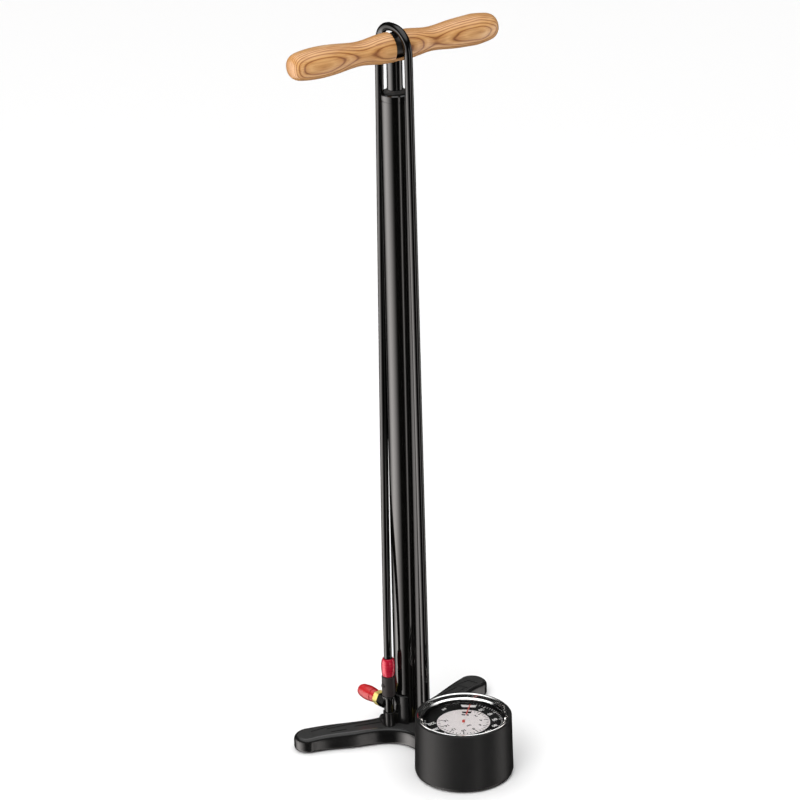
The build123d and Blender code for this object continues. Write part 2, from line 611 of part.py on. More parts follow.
def gauge_housing(legs):
    """Slightly conical cup, open below, stepped at the top for dial and bezel, with three screw bosses."""
    wall_r = 42.3
    shell = turned((
        (wall_r, PAD_H), (GAUGE_FOOT_R - 2.5, PAD_H), (GAUGE_FOOT_R - 0.7, PAD_H + 0.8),
        (GAUGE_FOOT_R, PAD_H + 3), (GAUGE_TOP_R, GAUGE_TOP_Z - 0.6), (GAUGE_TOP_R - 0.6, GAUGE_TOP_Z),
        (BEZEL_SEAT_R, GAUGE_TOP_Z), (BEZEL_SEAT_R, BEZEL_SEAT_Z), (DIAL_SEAT_R, BEZEL_SEAT_Z),
        (DIAL_SEAT_R, DIAL_Z - 1), (DIAL_LEDGE_R, DIAL_Z - 1), (DIAL_LEDGE_R, DIAL_Z - 4),
        (wall_r, DIAL_Z - 8)), GAUGE)
    for place in gauge_screw_places():
        boss = bar(4.2, GAUGE_PLATE_Z, DIAL_Z - 4, place) & bar(wall_r + 1, 0, GAUGE_TOP_Z, GAUGE)
        shell += boss
    for place in gauge_screw_places():
        shell -= bar(GAUGE_SCREW_R, GAUGE_PLATE_Z - 1, 16, place)
    return shell - legs


def gauge_screws():
    low = PAD_H + 0.1
    screws = []
    for place in gauge_screw_places():
        screw = bar(GAUGE_SCREW_HEAD_R, low, PAD_H + GAUGE_SCREW_HEAD_H, place) + bar(GAUGE_SCREW_R, low, 15, place)
        screws.append(screw - hex_bar(2.5, low - 1, low + 1.2, place))
    return Compound(children=screws)


def gauge_bezel():
    """Polished ring that holds the lens down: a broad rounded rim, fine steps and a last plain flank."""
    profile = [(LENS_R + 0.05, BEZEL_SEAT_Z), (BEZEL_SEAT_R, BEZEL_SEAT_Z), (BEZEL_SEAT_R, GAUGE_TOP_Z + 0.1),
               (BEZEL_SEAT_R - 0.25, GAUGE_TOP_Z + 0.55), (BEZEL_SEAT_R - 0.8, GAUGE_TOP_Z + 0.8),
               (BEZEL_SEAT_R - 1.4, GAUGE_TOP_Z + 0.65), (BEZEL_SEAT_R - 1.9, GAUGE_TOP_Z + 0.2)]
    radius, height = profile[-1]
    for _ in range(BEZEL_STEPS):
        height -= BEZEL_STEP_H
        profile.append((radius, height))
        radius -= BEZEL_STEP_W
        profile.append((radius, height))
    inner_r = BEZEL_SEAT_R - 4.7
    profile += [(radius, height - 0.3), (inner_r, LENS_TOP_Z + 0.6), (inner_r, LENS_TOP_Z),
                (LENS_R + 0.05, LENS_TOP_Z)]
    return turned(profile, GAUGE)


def gauge_lens():
    return bar(LENS_R, LENS_Z, LENS_TOP_Z, GAUGE)


def dial_spacer():
    return ring(DIAL_SEAT_R - 0.9, DIAL_LEDGE_R - 0.4, DIAL_Z, LENS_Z, GAUGE)


def dial_plate():
    return ring(DIAL_SEAT_R - 0.1, ARBOR_R + 0.4, DIAL_Z - 1, DIAL_Z, GAUGE)


def inner_dial():
    return ring(INNER_DIAL_R, ARBOR_R + 0.4, DIAL_Z, DIAL_Z + 0.3, GAUGE)


def gear_tooth(teeth, height):
    """Root radius and one slightly thin, straight-flanked tooth, centred on +X, of a spur gear about Z."""
    pitch_r = GEAR_MODULE * teeth / 2
    pitch = pi * GEAR_MODULE
    root_r = pitch_r - 1.25 * GEAR_MODULE
    tip_r = pitch_r + 0.9 * GEAR_MODULE
    tooth = make_face(Polyline(
        (root_r - 0.3, -0.26 * pitch), (root_r, -0.26 * pitch), (pitch_r, -0.18 * pitch),
        (tip_r, -0.1 * pitch), (tip_r, 0.1 * pitch), (pitch_r, 0.18 * pitch), (root_r, 0.26 * pitch),
        (root_r - 0.3, 0.26 * pitch), close=True))
    return root_r, extrude(tooth, height)


def needle_arbor():
    """Steel spindle with the pinion cut on it."""
    root_r, tooth = gear_tooth(PINION_TEETH, GEAR_H)
    pinion = Cylinder(root_r, GEAR_H, align=BASE)
    for index in range(PINION_TEETH):
        pinion += Rot(0, 0, index * 360 / PINION_TEETH) * tooth
    pinion = Pos(GAUGE[0], GAUGE[1], GEAR_Z) * Rot(0, 0, 180) * pinion
    return pinion + bar(ARBOR_R, PLATE_LOW_Z, DIAL_Z + 1.9, GAUGE)


def sector_gear():
    """Brass toothed sector on its own spindle, in mesh with the pinion."""
    root_r, tooth = gear_tooth(SECTOR_TEETH, GEAR_H)
    pitch_angle = 360 / SECTOR_TEETH
    first_angle = -SECTOR_SWING - 2 * pitch_angle
    last_angle = 1.5 * pitch_angle
    rim_section = Pos(root_r - 1, 0, GEAR_H / 2) * Rot(90, 0, 0) * Rectangle(2, GEAR_H)
    rim = revolve(rim_section, Axis.Z, last_angle - first_angle + pitch_angle)
    rim = Rot(0, 0, first_angle - pitch_angle / 2) * rim
    body = rim + Cylinder(2.6, GEAR_H, align=BASE)
    arm_angle = (first_angle + last_angle) / 2
    body += Rot(0, 0, arm_angle) * Pos(root_r / 2, 0, GEAR_H / 2) * Box(root_r - 1.5, 3, GEAR_H)
    for index in range(round((last_angle - first_angle) / pitch_angle) + 1):
        body += Rot(0, 0, first_angle + index * pitch_angle) * tooth
    body = Pos(SECTOR_PIVOT[0], SECTOR_PIVOT[1], GEAR_Z) * body
    return body + bar(1.0, PLATE_LOW_Z, PLATE_HIGH_Z + PLATE_H, SECTOR_PIVOT)


def movement_plates():
    """Two brass plates that carry the spindles, the lower one with an arm to the pressure block."""
    middle = ((GAUGE[0] + SECTOR_PIVOT[0]) / 2, GAUGE_Y)
    outline = SlotCenterToCenter(-SECTOR_PIVOT[0], 15)
    plates = []
    for low in (PLATE_LOW_Z, PLATE_HIGH_Z):
        plate = Pos(*middle, low) * extrude(outline, PLATE_H)
        if low == PLATE_LOW_Z:
            arm = Box(9, BLOCK_Y - 5 - GAUGE_Y, PLATE_H, align=(Align.CENTER, Align.MIN, Align.MIN))
            plate += Pos(GAUGE[0], GAUGE[1], low) * arm
        plate -= bar(ARBOR_R + RUN_GAP, low - 1, low + PLATE_H + 1, GAUGE)
        plates.append(plate - bar(1.0 + RUN_GAP, low - 1, low + PLATE_H + 1, SECTOR_PIVOT))
    return Compound(children=plates)


def movement_pillars():
    places = [(x, GAUGE_Y + y) for x in (4.2, SECTOR_PIVOT[0] - 4.2) for y in (-4.4, 4.4)]
    return Compound(children=[bar(1.2, PLATE_LOW_Z + PLATE_H, PLATE_HIGH_Z, place) for place in places])


def bourdon_tube():
    """Flattened brass tube bent to a C, closed at its free end."""
    section = Pos(BOURDON_R, 0, 0) * Rot(90, 0, 0) * Ellipse(1.2, 2.6)
    return Pos(GAUGE[0], GAUGE[1], BOURDON_Z) * Rot(0, 0, 100) * revolve(section, Axis.Z, 245)


def gauge_pressure_block():
    """Brass block that feeds the Bourdon tube, with its stem down to the base."""
    block = Pos(GAUGE[0], BLOCK_Y, BOURDON_Z) * Box(12, 10, 15)
    block += bar(4.5, GAUGE_PLATE_Z, BOURDON_Z, (GAUGE[0], BLOCK_Y))
    return block - bourdon_tube()


def needle():
    """Slim pointer with a short tail, painted, at the scale's zero."""
    blade = make_face(Polyline(
        (-6, -0.7), (-6, 0.7), (0, 0.8), (32.5, 0.4), (33.5, 0), (32.5, -0.4), (0, -0.8), close=True))
    pointer = extrude(blade + Circle(1.4), 0.5) - Cylinder(ARBOR_R, 5)
    return Pos(GAUGE[0], GAUGE[1], DIAL_Z + 0.9) * Rot(0, 0, NEEDLE_REST_TURN) * pointer


def needle_cap():
    low = DIAL_Z + 1.4
    cap = fillet(bar(1.2, low, low + 0.9, GAUGE).faces().sort_by(Axis.Z)[-1].edges(), 0.3)
    return cap - bar(ARBOR_R, low - 1, DIAL_Z + 1.9, GAUGE)


# ---- export -------------------------------------------------------------------------
def main():
    legs = neck_solid()
    parts = {"base_casting": base_casting(legs), "gauge_housing": gauge_housing(legs)}
    makers = (
        foot_pads, barrel_tube, barrel_top_cap, rod_guide_bush, rod_wiper_seal, barrel_bottom_plug,
        plug_o_ring, barrel_bolt, check_valve_seat, check_valve_ball, check_valve_spring, piston_rod,
        piston_head, piston_cup_seal, piston_bolt, piston_bumper, rod_top_insert, handle, handle_washer,
        handle_bolt, air_hose, hose_outlet_fitting, hose_ferrule, dock_bracket, dock_screw, head_body,
        head_stem, head_grip_sleeve, bleed_button, head_lock_collar, side_nipple, coupler, coupler_seal,
        gauge_screws, gauge_bezel, gauge_lens, dial_spacer, dial_plate, inner_dial, needle_arbor,
        sector_gear, movement_plates, movement_pillars, bourdon_tube, gauge_pressure_block, needle,
        needle_cap)
    for maker in makers:
        parts[maker.__name__] = maker()
    os.makedirs("parts", exist_ok=True)
    for name, shape in parts.items():
        export_step(shape, f"parts/{name}.step")


main()
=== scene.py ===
from math import cos, pi, radians, sin

import bmesh
import bpy
from mathutils import Matrix, Quaternion, Vector


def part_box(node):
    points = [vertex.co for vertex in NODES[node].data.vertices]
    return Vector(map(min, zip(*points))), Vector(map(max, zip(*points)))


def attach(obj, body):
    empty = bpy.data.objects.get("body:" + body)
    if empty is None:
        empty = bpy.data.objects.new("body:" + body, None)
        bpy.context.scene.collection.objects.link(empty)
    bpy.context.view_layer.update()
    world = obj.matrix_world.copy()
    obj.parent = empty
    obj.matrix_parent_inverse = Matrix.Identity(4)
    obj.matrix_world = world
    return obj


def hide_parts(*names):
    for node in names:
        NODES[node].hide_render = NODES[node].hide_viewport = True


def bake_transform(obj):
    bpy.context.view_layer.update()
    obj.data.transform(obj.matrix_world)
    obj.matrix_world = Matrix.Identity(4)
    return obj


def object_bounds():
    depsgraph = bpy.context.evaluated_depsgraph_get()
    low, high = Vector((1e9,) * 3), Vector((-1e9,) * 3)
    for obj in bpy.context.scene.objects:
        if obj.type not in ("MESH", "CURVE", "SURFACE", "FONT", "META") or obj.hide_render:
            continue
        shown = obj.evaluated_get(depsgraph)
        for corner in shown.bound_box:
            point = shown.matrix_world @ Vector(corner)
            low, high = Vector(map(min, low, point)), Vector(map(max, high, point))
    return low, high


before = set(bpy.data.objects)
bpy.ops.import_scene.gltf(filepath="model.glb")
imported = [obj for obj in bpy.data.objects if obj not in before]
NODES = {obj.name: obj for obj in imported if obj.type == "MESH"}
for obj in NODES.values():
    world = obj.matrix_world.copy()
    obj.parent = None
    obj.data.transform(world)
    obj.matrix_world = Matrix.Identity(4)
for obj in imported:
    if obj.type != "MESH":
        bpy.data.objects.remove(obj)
cad_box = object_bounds()
dial_centre = (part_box("inner_dial")[0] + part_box("inner_dial")[1]) / 2

# Metres, +Z up. Legs and handle along X, gauge towards -Y, docked hose head at -X.

# ---- camera -------------------------------------------------------------------------
CAMERA_PLACE = Vector((-1.6169, -2.4880, 1.5792))
CAMERA_AZIMUTH = radians(32.985)
CAMERA_PITCH = radians(22.665)
CAMERA_ROLL = radians(-1.308)
CAMERA_LENS = 159.49


def add_camera():
    """In front, to the left and above, a few paces away with a long lens."""
    data = bpy.data.cameras.new("camera")
    data.lens = CAMERA_LENS
    data.clip_start = 0.1
    camera = bpy.data.objects.new("camera", data)
    bpy.context.scene.collection.objects.link(camera)
    forward = Vector((sin(CAMERA_AZIMUTH) * cos(CAMERA_PITCH), cos(CAMERA_AZIMUTH) * cos(CAMERA_PITCH),
                      -sin(CAMERA_PITCH)))
    camera.rotation_mode = "QUATERNION"
    camera.rotation_quaternion = forward.to_track_quat("-Z", "Y") @ Quaternion((0, 0, 1), CAMERA_ROLL)
    camera.location = CAMERA_PLACE
    bpy.context.scene.camera = camera


# ---- node helpers -------------------------------------------------------------------
# A Mix node keeps sockets for numbers, vectors and colours. These are the ones for colours.
MIX_FACTOR, MIX_FIRST, MIX_SECOND, MIX_RESULT = 0, 6, 7, 2


def new_node(tree, kind, **settings):
    """A node in a material's or the world's tree, with its settings made."""
    made = tree.nodes.new(kind)
    for key, value in settings.items():
        setattr(made, key, value)
    return made


def fill_ramp(node, stops):
    """Gives a colour ramp its (position, colour) stops, where a colour may be one grey."""
    elements = node.color_ramp.elements
    while len(elements) < len(stops):
        elements.new(1.0)
    for element, (position, colour) in zip(elements, stops):
        element.position = position
        element.color = (*colour, 1) if hasattr(colour, "__len__") else (colour, colour, colour, 1)


def scaled(colour, share):
    """The same colour, darker or lighter."""
    return tuple(share * channel for channel in colour)


NOISE_LOW, NOISE_HIGH = 0.3, 0.7


class Surface:
    """A material built round one Principled shader, with its coordinates in metres on the part."""

    def __init__(self, name, colour, roughness, metallic=0.0, coat=0.0, coat_roughness=0.05):
        self.material = bpy.data.materials.new(name)
        self.material.use_nodes = True
        self.tree = self.material.node_tree
        self.shader = self.tree.nodes["Principled BSDF"]
        self.set("Base Color", (*colour, 1))
        self.set("Roughness", roughness)
        self.set("Metallic", metallic)
        self.set("Coat Weight", coat)
        self.set("Coat Roughness", coat_roughness)
        self.place = self.node("ShaderNodeTexCoord").outputs["Object"]
        self.last_bump = None

    def set(self, socket, value):
        self.shader.inputs[socket].default_value = value

    def node(self, kind, **settings):
        return new_node(self.tree, kind, **settings)

    def join(self, output, target):
        self.tree.links.new(output, target)

    def stretched(self, scale=(1, 1, 1), location=(0, 0, 0), rotation=(0, 0, 0)):
        """The part's coordinates, moved, turned and scaled."""
        mapping = self.node("ShaderNodeMapping")
        mapping.inputs["Location"].default_value = location
        mapping.inputs["Rotation"].default_value = rotation
        mapping.inputs["Scale"].default_value = scale
        self.join(self.place, mapping.inputs["Vector"])
        return mapping.outputs["Vector"]

    def noise(self, scale, detail=3.0, roughness=0.55, vector=None):
        made = self.node("ShaderNodeTexNoise")
        made.inputs["Scale"].default_value = scale
        made.inputs["Detail"].default_value = detail
        made.inputs["Roughness"].default_value = roughness
        self.join(vector or self.place, made.inputs["Vector"])
        return made.outputs["Fac"]

    def ramp(self, value, stops):
        """Colours or greys by position, from (position, colour) pairs."""
        made = self.node("ShaderNodeValToRGB")
        fill_ramp(made, stops)
        self.join(value, made.inputs["Fac"])
        return made.outputs["Color"]

    def blend(self, factor, first, second, mode="MIX"):
        """Two colours mixed by a factor; each may be a value or another node's output."""
        made = self.node("ShaderNodeMix", data_type="RGBA", blend_type=mode)
        for value, index in ((factor, MIX_FACTOR), (first, MIX_FIRST), (second, MIX_SECOND)):
            if hasattr(value, "is_linked"):
                self.join(value, made.inputs[index])
            else:
                made.inputs[index].default_value = (*value, 1) if hasattr(value, "__len__") else value
        return made.outputs[MIX_RESULT]

    def maths(self, operation, *values):
        """A number worked out from numbers or outputs."""
        made = self.node("ShaderNodeMath", operation=operation)
        for value, socket in zip(values, made.inputs):
            if hasattr(value, "is_linked"):
                self.join(value, socket)
            else:
                socket.default_value = value
        return made.outputs["Value"]

    def axes(self):
        """The three coordinates on the part, in metres."""
        made = self.node("ShaderNodeSeparateXYZ")
        self.join(self.place, made.inputs["Vector"])
        return made.outputs["X"], made.outputs["Y"], made.outputs["Z"]

    def distance(self, first, first_middle, second, second_middle):
        """Distance from a line that is parallel to an axis, from the two coordinates across it."""
        squares = []
        for value, middle in ((first, first_middle), (second, second_middle)):
            gap = self.maths("ABSOLUTE", self.maths("SUBTRACT", value, middle))
            squares.append(self.maths("POWER", gap, 2.0))
        return self.maths("SQRT", self.maths("ADD", *squares))

    def colour_from(self, output):
        self.join(output, self.shader.inputs["Base Color"])

    def rough_between(self, value, low, high):
        """Roughness that varies with a noise, which seldom leaves the middle of its range."""
        made = self.node("ShaderNodeMapRange")
        made.inputs["From Min"].default_value = NOISE_LOW
        made.inputs["From Max"].default_value = NOISE_HIGH
        made.inputs["To Min"].default_value = low
        made.inputs["To Max"].default_value = high
        self.join(value, made.inputs["Value"])
        self.join(made.outputs["Result"], self.shader.inputs["Roughness"])

    def bump(self, height, depth, strength=1.0):
        """Relief of a depth in metres, laid over any relief before it."""
        made = self.node("ShaderNodeBump")
        made.inputs["Strength"].default_value = strength
        made.inputs["Distance"].default_value = depth
        self.join(height, made.inputs["Height"])
        if self.last_bump:
            self.join(self.last_bump, made.inputs["Normal"])
        self.join(made.outputs["Normal"], self.shader.inputs["Normal"])
        self.last_bump = made.outputs["Normal"]


# ---- materials ----------------------------------------------------------------------
def gloss_black():
    """Stove enamel on the barrel, with a trace of orange peel and faint haze."""
    skin = Surface("gloss_black", (0.0025, 0.0024, 0.0022), 0.25, coat=1.0, coat_roughness=0.03)
    skin.set("Specular IOR Level", 0.05)
    skin.rough_between(skin.noise(60, 4), 0.2, 0.3)
    skin.bump(skin.noise(260, 2), 0.000005)
    return skin.material


def rod_black():
    """Hard, smooth black finish with fine wear lines along the rod."""
    skin = Surface("rod_black", (0.003, 0.003, 0.003), 0.2, coat=0.9, coat_roughness=0.05)
    skin.set("Specular IOR Level", 0.1)
    lines = skin.noise(700, 3, vector=skin.stretched((1, 1, 0.02)))
    skin.rough_between(lines, 0.14, 0.28)
    skin.bump(lines, 0.000002)
    return skin.material


def cast_black():
    """Satin paint over a casting: fine grain and dark walls, with the upward-facing tops painted paler as a
    painted sheen from the light above.
    """
    skin = Surface("cast_black", (0.009, 0.009, 0.009), 0.28)
    skin.set("Specular IOR Level", 0.36)
    facing = skin.node("ShaderNodeSeparateXYZ")
    skin.join(skin.node("ShaderNodeNewGeometry").outputs["Normal"], facing.inputs["Vector"])
    # Painted sheen: faces that point up get a paler colour than the walls, standing in for the light falling
    # from above.
    painted_top_sheen = skin.ramp(facing.outputs["Z"], ((0.9, 0.0), (0.985, 1.0)))
    walls = skin.ramp(skin.noise(35, 5), ((0.3, 0.0055), (0.75, (0.0085, 0.0083, 0.0081))))
    skin.colour_from(skin.blend(painted_top_sheen, walls, (0.034, 0.0338, 0.0335)))
    skin.rough_between(skin.noise(120, 6), 0.16, 0.24)
    skin.bump(skin.noise(1100, 3), 0.00002, 0.5)
    skin.bump(skin.noise(90, 2), 0.00006, 0.4)
    return skin.material


def housing_black():
    """Satin moulded plastic of the gauge's drum."""
    skin = Surface("housing_black", (0.0145, 0.0145, 0.0145), 0.34)
    skin.set("Specular IOR Level", 0.08)
    tone = skin.ramp(skin.noise(25, 4), ((0.3, 0.0135), (0.7, (0.0162, 0.016, 0.0158))))
    skin.colour_from(tone)
    skin.rough_between(skin.noise(200, 5), 0.28, 0.38)
    skin.bump(skin.noise(1500, 2), 0.00001, 0.6)
    return skin.material


def hose_rubber():
    """Smooth extruded rubber with faint lines along its length."""
    skin = Surface("hose_rubber", (0.0015, 0.0015, 0.0015), 0.3, coat=0.8, coat_roughness=0.04)
    skin.set("Specular IOR Level", 0.02)
    lines = skin.noise(900, 3, vector=skin.stretched((1, 1, 0.015)))
    skin.rough_between(lines, 0.24, 0.38)
    skin.bump(lines, 0.000004)
    return skin.material


def matt_rubber():
    """Dull moulded rubber for pads, seals and the wiper."""
    skin = Surface("matt_rubber", (0.015, 0.015, 0.015), 0.7)
    skin.rough_between(skin.noise(300, 4), 0.6, 0.8)
    skin.bump(skin.noise(1800, 3), 0.00004, 0.7)
    return skin.material


# The handle was sawn from well in front of the tree's middle, so its growth rings show as long ovals.
WOOD_PITH = (0.0, -0.058, -0.672)
WOOD_RING = 190.0
HANDLE_AXIS_Z = (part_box("handle")[0].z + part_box("handle")[1].z) / 2
# Half-width of the hose groove, and the distance from the handle's axis within which the groove is painted
# near black as painted shade under the hose.
GROOVE_HALF = 0.0064
GROOVE_SHADE_RADIUS = 0.0122
VARNISH = 0.3


def wood():
    """Ash: pale bands, darker growth lines and fine pores under satin varnish, and painted shade: the hose
    groove near black, without varnish.
    """
    skin = Surface("wood", (0.6, 0.33, 0.15), 0.42, coat=VARNISH, coat_roughness=0.2)
    grain = skin.stretched((0.3, 1, 1), WOOD_PITH, (0, radians(1.5), radians(4.5)))
    rings = skin.node("ShaderNodeTexWave", wave_type="RINGS", rings_direction="X", wave_profile="SAW")
    rings.inputs["Scale"].default_value = WOOD_RING
    rings.inputs["Distortion"].default_value = 7.0
    rings.inputs["Detail"].default_value = 2.5
    rings.inputs["Detail Scale"].default_value = 0.3
    rings.inputs["Detail Roughness"].default_value = 0.45
    skin.join(grain, rings.inputs["Vector"])
    bands = skin.ramp(rings.outputs["Fac"], (
        (0.0, (0.29, 0.105, 0.026)), (0.12, (0.55, 0.275, 0.095)), (0.5, (0.67, 0.385, 0.158)),
        (0.8, (0.55, 0.275, 0.09)), (0.94, (0.25, 0.085, 0.02))))
    pale = skin.ramp(skin.noise(26, 3, vector=skin.stretched((0.45, 1.6, 1.6))), ((0.56, 0.0), (0.72, 0.55)))
    patched = skin.blend(pale, bands, (0.78, 0.56, 0.36))
    deep = skin.ramp(skin.noise(11, 3, vector=skin.stretched((0.6, 1.4, 1.4), (3, 1, 2))), (
        (0.35, (0.88, 0.8, 0.7)), (0.62, (1.0, 1.0, 1.0))))
    fibres = skin.noise(800, 4, 0.6, skin.stretched((0.035, 1, 1)))
    streaks = skin.ramp(fibres, ((0.34, (0.8, 0.72, 0.64)), (0.55, (1.0, 1.0, 1.0))))
    toned = skin.blend(1.0, skin.blend(1.0, patched, deep, "MULTIPLY"), streaks, "MULTIPLY")
    x, y, z = skin.axes()
    # Painted shade: inside the hose groove the wood is painted near black, and its varnish is left off.
    across = skin.maths("LESS_THAN", skin.maths("ABSOLUTE", x), GROOVE_HALF)
    sunken = skin.maths("LESS_THAN", skin.distance(y, 0.0, z, HANDLE_AXIS_Z), GROOVE_SHADE_RADIUS)
    groove_shade = skin.maths("MULTIPLY", across, sunken)
    skin.colour_from(skin.blend(groove_shade, toned, (0.006, 0.005, 0.004)))
    varnish = skin.maths("MULTIPLY", skin.maths("SUBTRACT", 1.0, groove_shade), VARNISH)
    skin.join(varnish, skin.shader.inputs["Coat Weight"])
    skin.rough_between(fibres, 0.5, 0.36)
    skin.bump(fibres, 0.00004, 0.5)
    return skin.material


def chrome():
    """Polished turned steel with very fine tool lines round the gauge's axis."""
    skin = Surface("chrome", (0.82, 0.82, 0.81), 0.08, metallic=1.0)
    skin.rough_between(skin.noise(250, 4), 0.06, 0.13)
    lines = skin.node("ShaderNodeTexWave", wave_type="RINGS", rings_direction="Z", wave_profile="SIN")
    lines.inputs["Scale"].default_value = 420.0
    skin.join(skin.stretched(location=(0, -dial_centre.y, 0)), lines.inputs["Vector"])
    skin.bump(lines.outputs["Fac"], 0.000002, 0.5)
    return skin.material


def steel():
    """Plain turned steel."""
    skin = Surface("steel", (0.52, 0.52, 0.51), 0.28, metallic=1.0)
    skin.rough_between(skin.noise(700, 4), 0.2, 0.36)
    skin.bump(skin.noise(1500, 3), 0.00001)
    return skin.material


def dark_steel():
    """Black-oxide fasteners, a little worn."""
    skin = Surface("dark_steel", (0.02, 0.02, 0.021), 0.35, metallic=0.6)
    worn = skin.ramp(skin.noise(500, 4), ((0.4, (0.014, 0.014, 0.015)), (0.8, (0.045, 0.044, 0.043))))
    skin.colour_from(worn)
    skin.rough_between(skin.noise(900, 4), 0.28, 0.45)
    skin.bump(skin.noise(1600, 3), 0.00001)
    return skin.material


def aluminium():
    """Turned aluminium."""
    skin = Surface("aluminium", (0.72, 0.73, 0.74), 0.3, metallic=1.0)
    skin.rough_between(skin.noise(900, 3, vector=skin.stretched((0.1, 0.1, 1))), 0.24, 0.4)
    skin.bump(skin.noise(1200, 2), 0.00001)
    return skin.material


def acetal():
    """Off-white engineering plastic."""
    skin = Surface("acetal", (0.75, 0.74, 0.7), 0.45)
    skin.rough_between(skin.noise(400, 4), 0.4, 0.52)
    skin.bump(skin.noise(1500, 3), 0.00002)
    return skin.material


def brass():
    """Bare brass, bright on its flats with duller patches."""
    skin = Surface("brass", (0.80, 0.66, 0.18), 0.34, metallic=0.45)
    skin.colour_from(skin.ramp(skin.noise(180, 4), ((0.3, (0.66, 0.5, 0.12)), (0.7, (0.84, 0.72, 0.24)))))
    skin.rough_between(skin.noise(600, 4), 0.26, 0.42)
    skin.bump(skin.noise(900, 3), 0.000004)
    return skin.material


def red_anodised():
    """Bright dyed aluminium with fine turning lines round the part."""
    skin = Surface("red_anodised", (0.45, 0.01, 0.03), 0.26, metallic=0.15, coat=0.35, coat_roughness=0.06)
    skin.set("Specular IOR Level", 0.25)
    skin.colour_from(skin.ramp(skin.noise(120, 3), ((0.3, (0.42, 0.007, 0.027)), (0.75, (0.5, 0.01, 0.036)))))
    turning = skin.noise(900, 2, vector=skin.stretched((0.03, 0.03, 1)))
    skin.rough_between(turning, 0.2, 0.32)
    skin.bump(turning, 0.000002)
    return skin.material


def red_plastic():
    """Glossy red moulding of the coupler."""
    skin = Surface("red_plastic", (0.45, 0.012, 0.02), 0.34, coat=0.3, coat_roughness=0.1)
    skin.set("Specular IOR Level", 0.25)
    skin.colour_from(skin.ramp(skin.noise(120, 3), ((0.3, (0.42, 0.012, 0.015)), (0.7, (0.5, 0.018, 0.022)))))
    skin.rough_between(skin.noise(300, 4), 0.3, 0.42)
    skin.bump(skin.noise(500, 2), 0.000004)
    return skin.material


def sleeve_grey():
    """Dark satin moulding of the head's grip sleeve."""
    skin = Surface("sleeve_grey", (0.026, 0.021, 0.021), 0.5)
    skin.set("Specular IOR Level", 0.2)
    skin.rough_between(skin.noise(400, 5), 0.44, 0.58)
    skin.bump(skin.noise(1200, 3), 0.00001, 0.7)
    return skin.material


PRINT_WHITE = (0.93, 0.92, 0.91)
PRINT_BLACK = (0.003, 0.003, 0.003)
DIAL_CREAM = (0.90, 0.845, 0.84)


def printed(name, colour, roughness=0.55):
    """A printed face with a faint screen texture and little gloss of its own."""
    skin = Surface(name, colour, roughness)
    skin.set("Specular IOR Level", 0.12)
    skin.colour_from(skin.ramp(skin.noise(220, 5), ((0.35, scaled(colour, 0.93)), (0.65, colour))))
    skin.rough_between(skin.noise(1200, 3), roughness - 0.06, roughness + 0.08)
    skin.bump(skin.noise(2500, 2), 0.000004)
    return skin.material


# The pointer is pale between these two radii, in metres, and red elsewhere.
PALE_FROM = 0.0030
RED_FROM = 0.0128
NEEDLE_RED = (0.72, 0.075, 0.05)


def needle_paint():
    """Red paint at the hub and on the outer part of the pointer, with a pale part between."""
    skin = Surface("needle_paint", NEEDLE_RED, 0.4)
    x, y, _ = skin.axes()
    reach = skin.distance(x, dial_centre.x, y, dial_centre.y)
    between = skin.maths("MULTIPLY", skin.maths("GREATER_THAN", reach, PALE_FROM),
                         skin.maths("LESS_THAN", reach, RED_FROM))
    tone = skin.ramp(skin.noise(400, 3), ((0.3, scaled(NEEDLE_RED, 0.85)), (0.7, NEEDLE_RED)))
    skin.colour_from(skin.blend(between, tone, DIAL_CREAM))
    skin.rough_between(skin.noise(900, 3), 0.34, 0.46)
    return skin.material


def clear_glass():
    """Thin clear lens: it lets the light through and mirrors a little at its face."""
    skin = Surface("clear_glass", (1, 1, 1), 0.0)
    skin.set("IOR", 1.33)
    skin.set("Transmission Weight", 1.0)
    skin.rough_between(skin.noise(90, 4), 0.0, 0.01)
    return skin.material


FINISHES = {
    gloss_black: ("barrel_tube", "barrel_top_cap", "head_body"),
    rod_black: ("piston_rod",),
    cast_black: ("base_casting", "dock_bracket"),
    housing_black: ("gauge_housing",),
    hose_rubber: ("air_hose",),
    matt_rubber: ("foot_pads", "rod_wiper_seal", "plug_o_ring", "piston_cup_seal", "piston_bumper",
                  "coupler_seal"),
    wood: ("handle",),
    chrome: ("gauge_bezel",),
    steel: ("barrel_bolt", "check_valve_spring", "check_valve_ball", "needle_arbor", "movement_pillars",
            "gauge_screws"),
    dark_steel: ("handle_bolt", "handle_washer", "dock_screw", "hose_ferrule", "piston_bolt"),
    aluminium: ("barrel_bottom_plug", "piston_head", "rod_top_insert"),
    acetal: ("rod_guide_bush",),
    brass: ("check_valve_seat", "hose_outlet_fitting", "head_stem", "side_nipple", "sector_gear",
            "movement_plates", "bourdon_tube", "gauge_pressure_block"),
    red_anodised: ("head_lock_collar",),
    red_plastic: ("coupler",),
    sleeve_grey: ("head_grip_sleeve", "bleed_button"),
    clear_glass: ("gauge_lens",),
}


def finish_nodes(print_black, dial_cream, needle_red):
    """Every CAD node takes the material of what it is made of."""
    chosen = {}
    for make, names in FINISHES.items():
        material = make()
        for name in names:
            chosen[name] = material
    chosen["dial_plate"] = print_black
    chosen["dial_spacer"] = print_black
    chosen["inner_dial"] = dial_cream
    chosen["needle"] = needle_red
    chosen["needle_cap"] = needle_red
    for name, node in NODES.items():
        for place in node.material_slots:
            place.material = chosen[name]


# ---- pieces -------------------------------------------------------------------------
def add_piece(name, mesh, material, body):
    """A finished mesh as a piece of the object."""
    piece = bpy.data.objects.new(name, mesh)
    bpy.context.scene.collection.objects.link(piece)
    mesh.materials.clear()
    mesh.materials.append(material)
    if body:
        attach(piece, body)
    return piece


